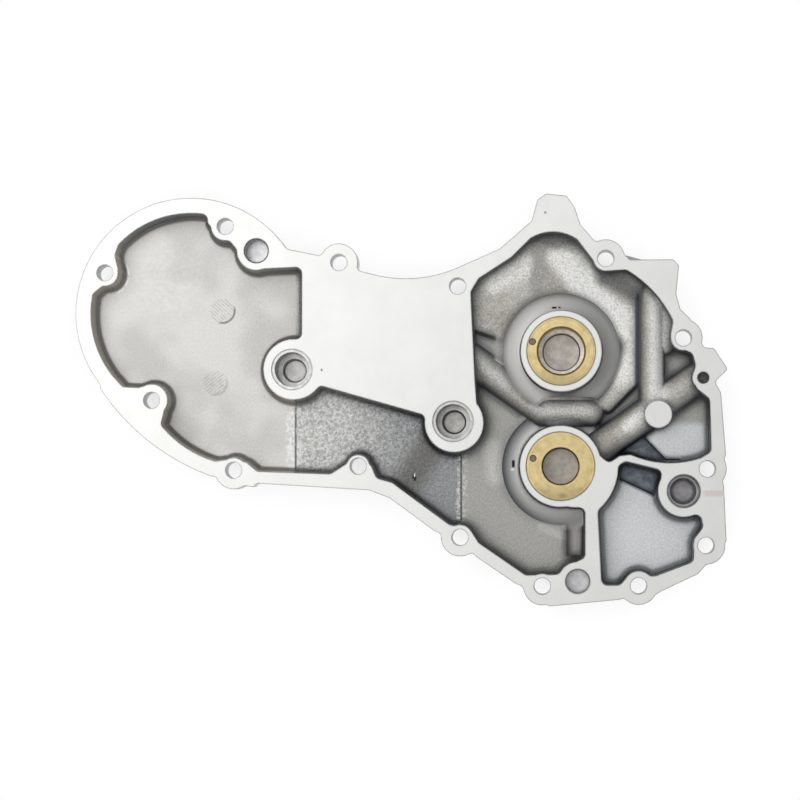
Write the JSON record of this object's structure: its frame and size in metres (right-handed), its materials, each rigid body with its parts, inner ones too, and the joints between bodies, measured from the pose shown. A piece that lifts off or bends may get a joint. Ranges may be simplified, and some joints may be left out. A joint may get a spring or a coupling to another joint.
{
  "type": "gear-case cam cover",
  "caption": "Cast cover for an engine gear case, seen from its gasket side: one connected gear chamber, a breather chamber, shaft bushings, stud bores and rim screw holes.",
  "frame": {"origin": "centre of the pinion shaft bore at the gasket face", "axes": "+X towards the breather end, away from the generator end, +Y towards the cam bore side, +Z out of the gasket face, along every bore"},
  "size_m": [0.2708, 0.1711, 0.0285],
  "materials": {
    "casting": "as cast, with a milled gasket face",
    "bronze": "machined bearing bronze",
    "pin_steel": "plain steel"
  },
  "bodies": {
    "root": {"cover": "casting", "cam_bushing": "bronze", "pinion_bushing": "bronze", "cam_bushing_pin": "pin_steel", "pinion_bushing_pin": "pin_steel"}
  },
  "joints": []
}
